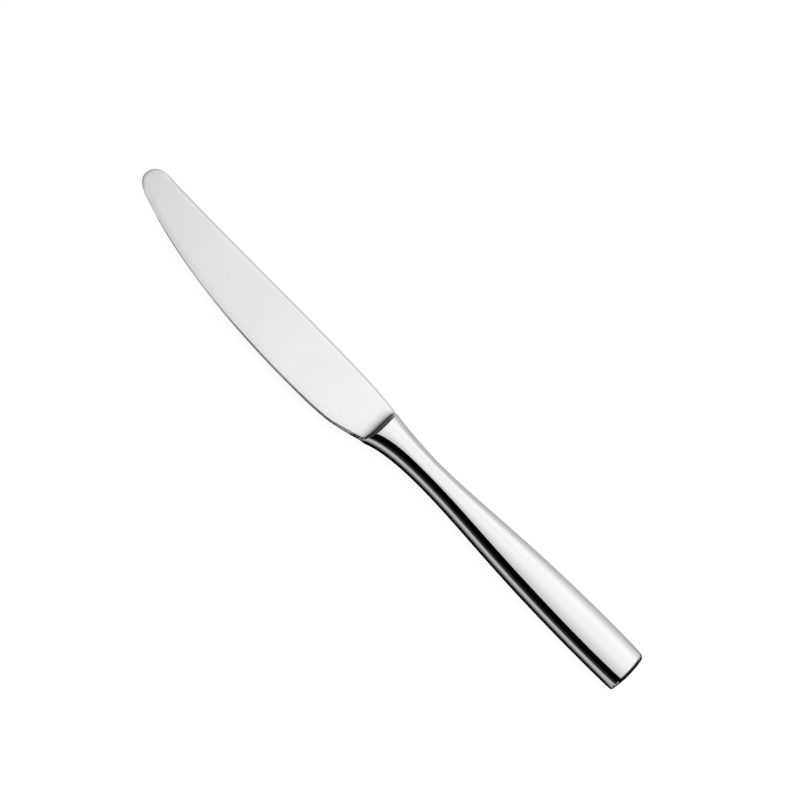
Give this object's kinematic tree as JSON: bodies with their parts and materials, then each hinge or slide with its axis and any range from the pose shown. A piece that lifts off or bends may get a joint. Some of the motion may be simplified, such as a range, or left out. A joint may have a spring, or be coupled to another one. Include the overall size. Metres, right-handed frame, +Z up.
{
  "type": "table knife",
  "caption": "Polished stainless table knife with a round-tipped, fine-toothed blade and a waisted hollow handle that widens to a bowed butt.",
  "frame": {"origin": "under the middle of the knife's box, on the surface that it lies on", "axes": "+X along the handle from the tip to the butt, +Y towards the spine, +Z up, square to the blade's middle plane"},
  "size_m": [0.235, 0.0244, 0.009],
  "materials": {
    "blade_steel": "fine satin polish",
    "handle_steel": "mirror polish",
    "solder": "ground flush and mirror polished",
    "cement": "set resin cement, hidden inside the handle"
  },
  "bodies": {
    "root": {"blade": "blade_steel", "handle_shell_front": "handle_steel", "handle_shell_back": "handle_steel", "seam_solder": "solder", "bolster_solder": "solder", "tang_cement": "cement"}
  },
  "joints": []
}
